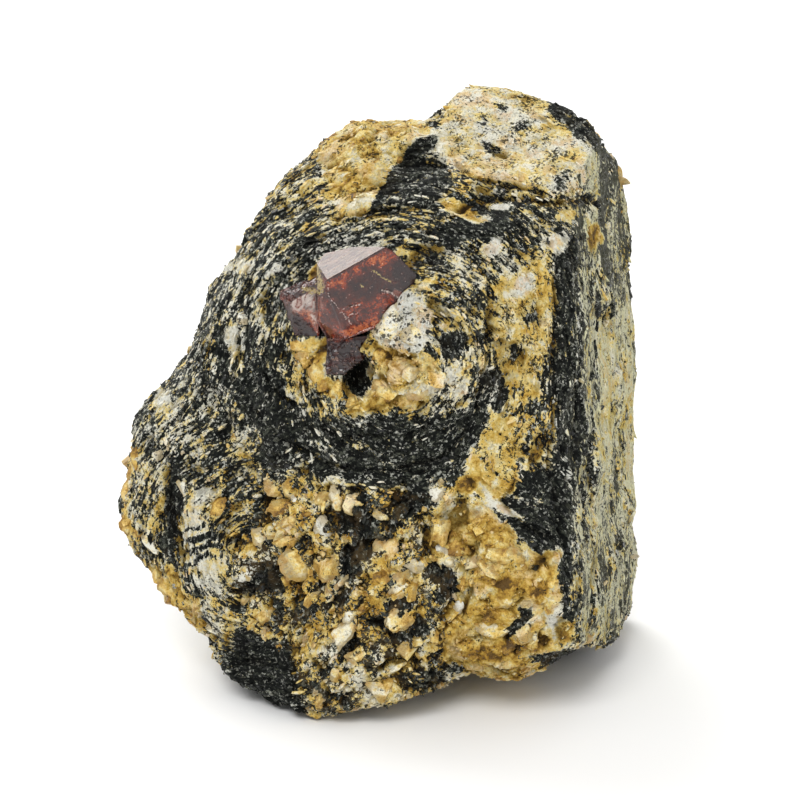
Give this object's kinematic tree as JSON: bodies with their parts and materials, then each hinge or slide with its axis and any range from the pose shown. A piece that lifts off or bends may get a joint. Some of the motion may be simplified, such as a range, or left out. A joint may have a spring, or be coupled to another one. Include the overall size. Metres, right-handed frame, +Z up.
{
  "type": "zircon crystal on matrix",
  "caption": "Rough block of dark banded gneiss with ochre and cream feldspar and a glossy red-brown zircon crystal set in its front; rests on its flat broken base.",
  "frame": {"origin": "centre of the bounding box at its base, on the surface that the block rests on", "axes": "+Z up, -Y towards the crystal on the front, +X to the right as seen from the front"},
  "size_m": [0.0532, 0.041, 0.0571],
  "materials": {
    "gneiss": "rough broken stone, black, grey, cream and ochre grains",
    "zircon": "glossy crystal faces with small chips, deep red-brown and translucent"
  },
  "bodies": {
    "root": {"matrix": "gneiss", "zircon": "zircon"}
  },
  "joints": []
}
